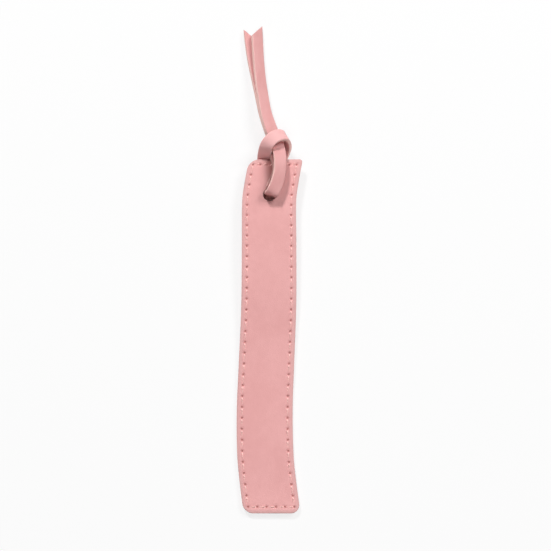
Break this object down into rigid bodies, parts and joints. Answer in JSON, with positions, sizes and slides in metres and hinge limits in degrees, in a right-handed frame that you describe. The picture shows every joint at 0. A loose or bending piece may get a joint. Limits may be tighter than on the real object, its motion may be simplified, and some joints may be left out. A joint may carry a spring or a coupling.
{
  "type": "leather bookmark",
  "caption": "Narrow edge-stitched strip of two leather panels with rounded corners, to mark a page, with a flat leather lace hitched through a hole near the top and left in two free tails.",
  "frame": {"origin": "on the table under the middle of the strip's own box; the lace is left out of that box", "axes": "+Y along the strip to its laced end, +Z out of its front face, +X to the right of the front face"},
  "size_m": [0.0246, 0.1907, 0.0113],
  "materials": {
    "panel_leather": "fine-grained, satin, dusty pink",
    "lace_leather": "smooth, satin, dusty pink with paler cut edges",
    "thread": "twisted polyester, pale pink"
  },
  "bodies": {
    "strip": {"front_panel": "panel_leather", "back_panel": "panel_leather", "needle_thread": "thread", "bobbin_thread": "thread", "lace_hitch": "lace_leather"},
    "front_end": {"front_tail": "lace_leather"},
    "rear_end": {"rear_tail": "lace_leather"}
  },
  "joints": [
    {"name": "front_tail_lift", "type": "hinge", "parent": "strip", "child": "front_end", "pos_m": [0.0006, 0.07911, 0.00668], "axis": [0.9251, 0.2877, -0.248], "range_deg": [0, 70]},
    {"name": "rear_tail_drop", "type": "hinge", "parent": "strip", "child": "rear_end", "pos_m": [-0.0001, 0.0795, 0.00342], "axis": [-0.9257, -0.2856, 0.2481], "range_deg": [0, 60]}
  ]
}
